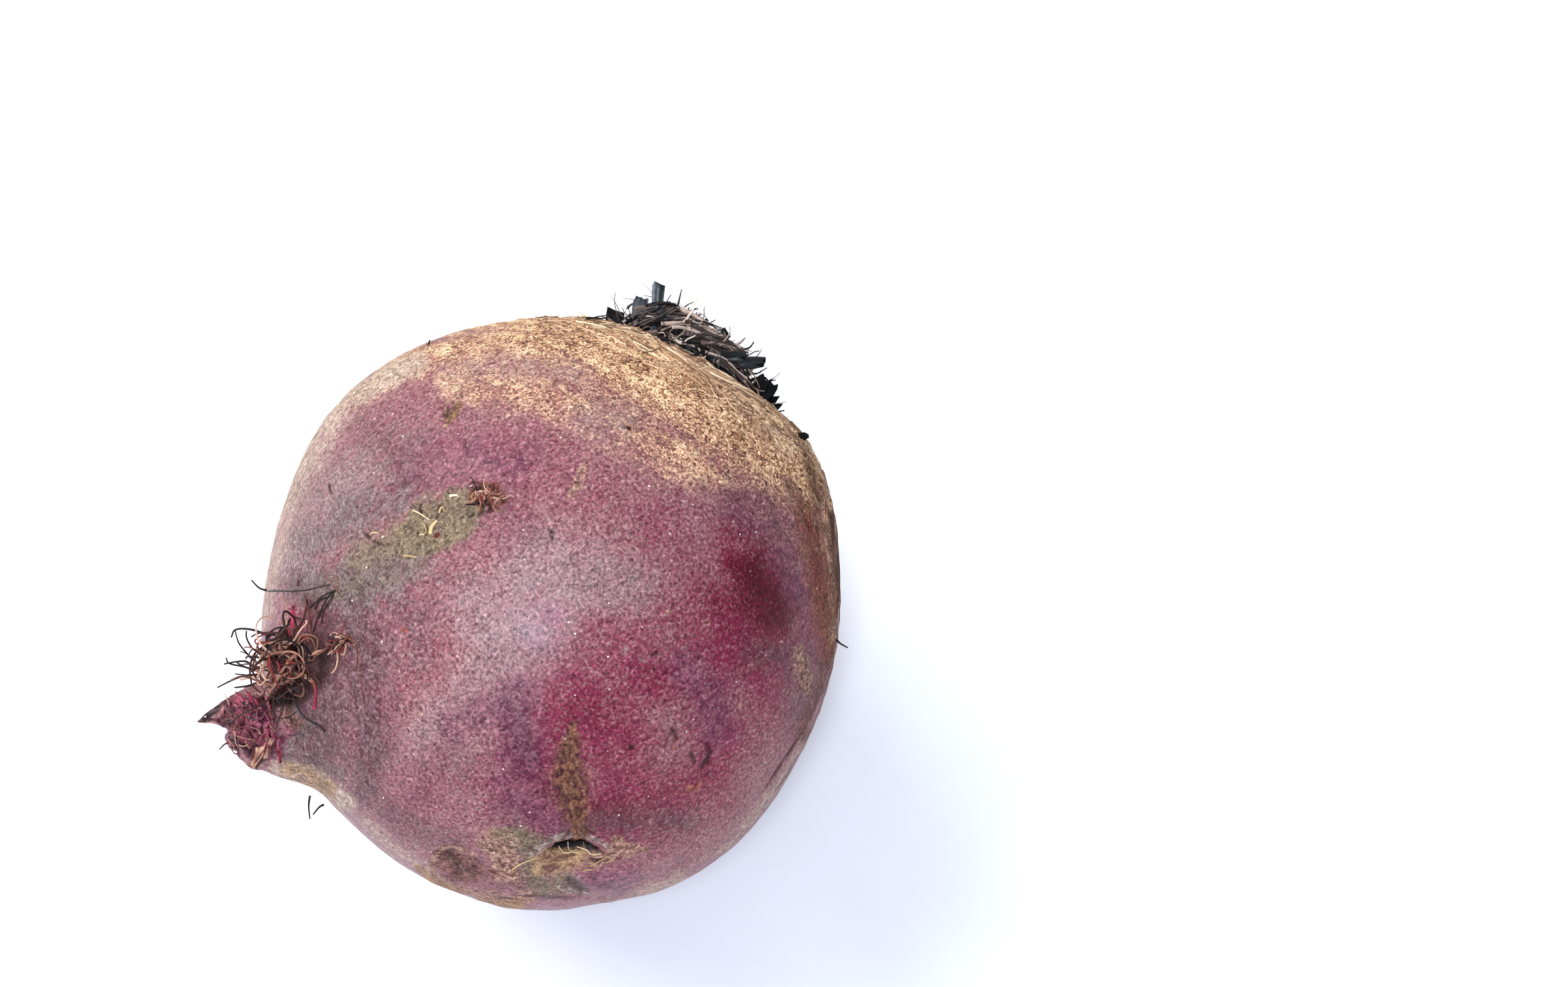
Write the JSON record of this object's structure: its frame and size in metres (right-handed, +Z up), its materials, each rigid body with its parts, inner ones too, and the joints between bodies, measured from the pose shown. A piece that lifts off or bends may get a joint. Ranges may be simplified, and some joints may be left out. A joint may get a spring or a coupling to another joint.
{
  "type": "beetroot",
  "caption": "Round garden beetroot lying on its side, with torn dark leaf stubs on its flattened crown, a broken pointed taproot stump and a tuft of curled rootlets.",
  "frame": {"origin": "centre of the small flat rest spot on the underside, below the centre of the globe", "axes": "+Z up, +X roughly towards the crown, -X towards the taproot stump, -Y the side with the healed injury low down"},
  "size_m": [0.1019, 0.0892, 0.088],
  "materials": {
    "skin": "dusty matte purple skin, corky tan towards the crown, with a weak soft sheen",
    "withered_leaf": "dry, nearly black, fibrous",
    "rootlet": "dry reddish brown fibres, a few still fresh red"
  },
  "bodies": {
    "root": {"root": "skin", "leaf_stubs": "withered_leaf", "rootlets": "rootlet"}
  },
  "joints": []
}
